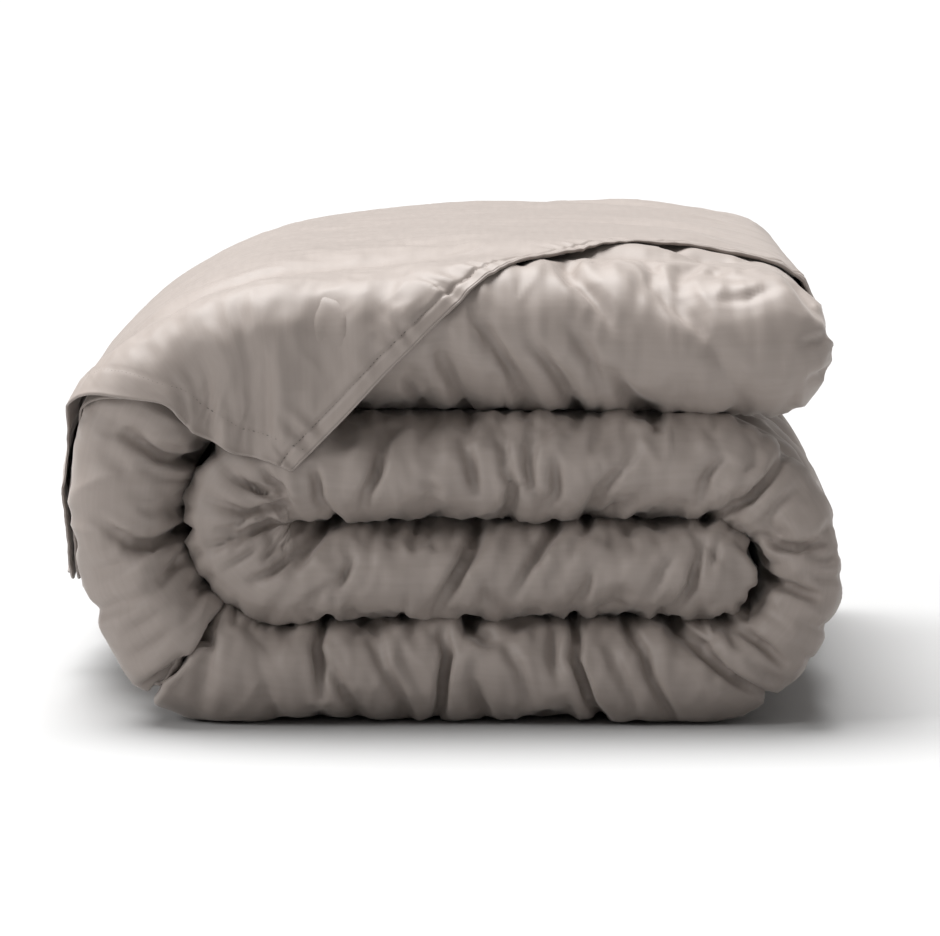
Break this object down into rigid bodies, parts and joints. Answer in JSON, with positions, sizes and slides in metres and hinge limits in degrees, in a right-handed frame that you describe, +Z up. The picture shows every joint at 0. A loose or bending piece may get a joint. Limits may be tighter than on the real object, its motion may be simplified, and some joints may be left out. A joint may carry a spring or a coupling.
{
  "type": "folded and rolled duvet in its cover",
  "caption": "Duvet in a sateen cover, folded along a rounded front edge and rolled up flat, with the cover's empty open end turned back over the top and down the left end.",
  "frame": {"origin": "middle of the footprint, on the surface the roll lies on", "axes": "+X along the layers towards the end of the top layer, +Y from the folded front face to the sewn back, +Z up"},
  "size_m": [0.5184, 0.7086, 0.3099],
  "materials": {
    "sateen": "soft satin sheen",
    "sateen_hem": "satin, sewn double",
    "downproof": "matt close weave",
    "fibre": "loose fibre",
    "tape": "matt ribbed tape",
    "label": "smooth woven, blank"
  },
  "bodies": {
    "roll": {"cover_top_panel_roll": "sateen", "casing_top_roll": "downproof", "filling_roll": "fibre", "casing_under_roll": "downproof", "cover_under_panel_roll": "sateen", "side_seam_left_roll": "sateen_hem", "side_seam_right_roll": "sateen_hem", "casing_binding_left_roll": "tape", "casing_binding_right_roll": "tape", "foot_seam": "sateen_hem", "foot_outer_loop": "tape", "foot_outer_tie": "sateen_hem", "foot_inner_loop": "tape", "foot_inner_tie": "sateen_hem", "care_label": "label"},
    "wrap": {"cover_top_panel_wrap": "sateen", "casing_top_wrap": "downproof", "filling_wrap": "fibre", "casing_under_wrap": "downproof", "cover_under_panel_wrap": "sateen", "side_seam_left_wrap": "sateen_hem", "side_seam_right_wrap": "sateen_hem", "casing_binding_left_wrap": "tape", "casing_binding_right_wrap": "tape", "head_seam": "sateen_hem", "head_outer_loop": "tape", "head_outer_tie": "sateen_hem", "head_inner_loop": "tape", "head_inner_tie": "sateen_hem"},
    "tail": {"tail_under_panel": "sateen", "tail_upper_panel": "sateen", "mouth_hem_under": "sateen_hem", "mouth_hem_upper": "sateen_hem", "tail_side_seam": "sateen_hem"}
  },
  "joints": [
    {"name": "wrap_unroll", "type": "hinge", "parent": "roll", "child": "wrap", "pos_m": [-0.19535, 0, 0.02528], "axis": [0, -1, 0], "range_deg": [0, 60]},
    {"name": "tail_turn_back", "type": "hinge", "parent": "wrap", "child": "tail", "pos_m": [0.2205, 0, 0.3055], "axis": [0, 1, 0], "range_deg": [0, 170]}
  ]
}
